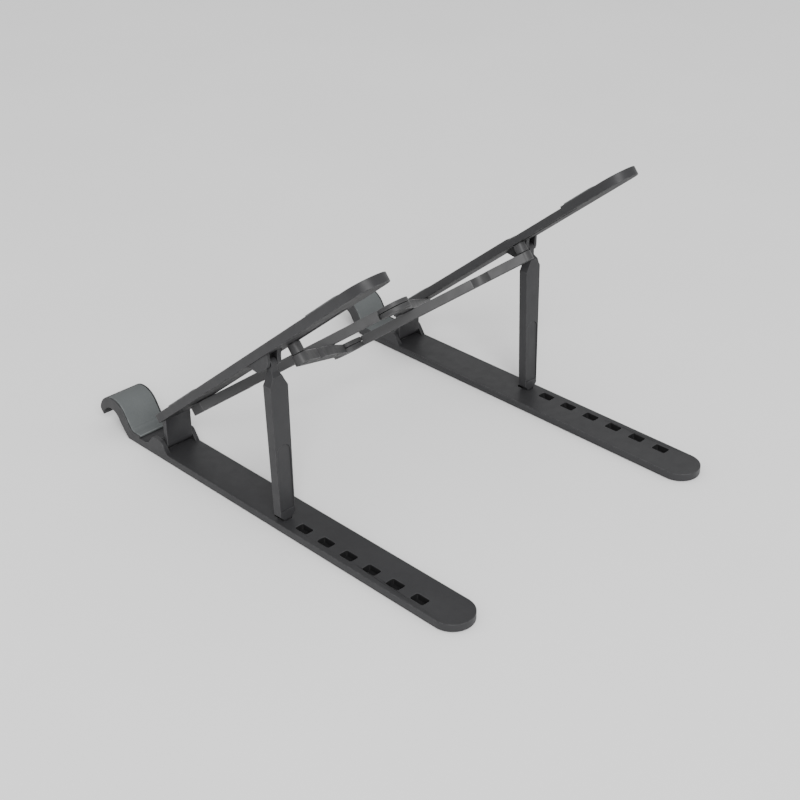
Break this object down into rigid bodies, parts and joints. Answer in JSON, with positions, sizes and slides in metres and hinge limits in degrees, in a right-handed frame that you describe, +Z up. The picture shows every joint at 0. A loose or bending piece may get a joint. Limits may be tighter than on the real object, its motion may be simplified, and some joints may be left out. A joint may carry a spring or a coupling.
{
  "type": "foldable laptop stand",
  "caption": "Foldable desktop laptop stand: flat base rails with lined front hooks, inclined arms on struts that step along a row of slots, and a scissor linkage that joins the halves.",
  "frame": {"origin": "centre of the footprint, on the table", "axes": "+X to the right-hand half, +Y from the hooks to the rear, +Z up; the left half mirrors the right half across X = 0"},
  "size_m": [0.1866, 0.2534, 0.1484],
  "materials": {
    "body_plastic": "fine moulded texture, matte",
    "link_plastic": "fine moulded texture, satin on the side faces",
    "grip_silicone": "soft matte silicone with a faint cool tint",
    "foot_rubber": "matte rubber",
    "pin_steel": "dark oxide"
  },
  "bodies": {
    "right_base": {"right_base_rail": "body_plastic", "right_hook_liner": "grip_silicone", "right_foot_front": "foot_rubber", "right_foot_rear": "foot_rubber", "right_hinge_pin": "pin_steel"},
    "right_arm": {"right_arm": "body_plastic", "right_arm_front_pad": "grip_silicone", "right_arm_rear_pad": "grip_silicone", "right_strut_pin": "pin_steel", "right_front_rivet": "pin_steel"},
    "right_strut": {"right_strut": "body_plastic"},
    "right_front_link": {"right_front_link": "link_plastic", "right_cross_rivet": "pin_steel", "rear_centre_rivet": "pin_steel"},
    "right_rear_link": {"right_rear_link": "link_plastic", "right_slider_post": "link_plastic", "right_slider_cap": "pin_steel"},
    "left_base": {"left_base_rail": "body_plastic", "left_hook_liner": "grip_silicone", "left_foot_front": "foot_rubber", "left_foot_rear": "foot_rubber", "left_hinge_pin": "pin_steel"},
    "left_arm": {"left_arm": "body_plastic", "left_arm_front_pad": "grip_silicone", "left_arm_rear_pad": "grip_silicone", "left_strut_pin": "pin_steel", "left_front_rivet": "pin_steel"},
    "left_strut": {"left_strut": "body_plastic"},
    "left_front_link": {"left_front_link": "link_plastic", "left_cross_rivet": "pin_steel"},
    "left_rear_link": {"left_rear_link": "link_plastic", "left_slider_post": "link_plastic", "left_slider_cap": "pin_steel", "front_centre_rivet": "pin_steel"}
  },
  "joints": [
    {"name": "arm_lift", "type": "hinge", "parent": "right_base", "child": "right_arm", "pos_m": [0.08275, -0.0764, 0.0079], "axis": [1, 0, 0], "range_deg": [0, 50]},
    {"name": "right_strut_swing", "type": "hinge", "parent": "right_arm", "child": "right_strut", "pos_m": [0.08735, 0.00862, 0.08615], "axis": [1, 0, 0], "range_deg": [0, 121]},
    {"name": "scissor_fold", "type": "hinge", "parent": "right_arm", "child": "right_front_link", "pos_m": [0.0765, -0.05283, 0.03273], "axis": [0, 0.6388, -0.7694], "range_deg": [0, 43.7]},
    {"name": "right_crossing", "type": "hinge", "parent": "right_front_link", "child": "right_rear_link", "pos_m": [0.02714, -0.01927, 0.0606], "axis": [0, 0.6388, -0.7694], "range_deg": [-87.4, 0]},
    {"name": "rear_centre", "type": "hinge", "parent": "right_front_link", "child": "left_front_link", "pos_m": [0, -0.00081, 0.07592], "axis": [0, 0.6388, -0.7694], "range_deg": [-87.4, 0]},
    {"name": "left_crossing", "type": "hinge", "parent": "left_front_link", "child": "left_rear_link", "pos_m": [-0.02714, -0.01927, 0.0606], "axis": [0, 0.6388, -0.7694], "range_deg": [0, 87.4]},
    {"name": "left_front_pivot", "type": "hinge", "parent": "left_front_link", "child": "left_arm", "pos_m": [-0.0765, -0.05283, 0.03273], "axis": [0, 0.6388, -0.7694], "range_deg": [0, 43.7]},
    {"name": "left_strut_swing", "type": "hinge", "parent": "left_arm", "child": "left_strut", "pos_m": [-0.08735, 0.00862, 0.08615], "axis": [1, 0, 0], "range_deg": [0, 121]},
    {"name": "left_base_hinge", "type": "hinge", "parent": "left_arm", "child": "left_base", "pos_m": [-0.08275, -0.0764, 0.0079], "axis": [1, 0, 0], "range_deg": [-50, 0]}
  ],
  "couplings": [
    {"joint": "right_crossing", "follows": "scissor_fold", "ratio": -2},
    {"joint": "rear_centre", "follows": "scissor_fold", "ratio": -2},
    {"joint": "left_crossing", "follows": "scissor_fold", "ratio": 2},
    {"joint": "left_front_pivot", "follows": "scissor_fold", "ratio": 1},
    {"joint": "left_base_hinge", "follows": "arm_lift", "ratio": -1}
  ]
}
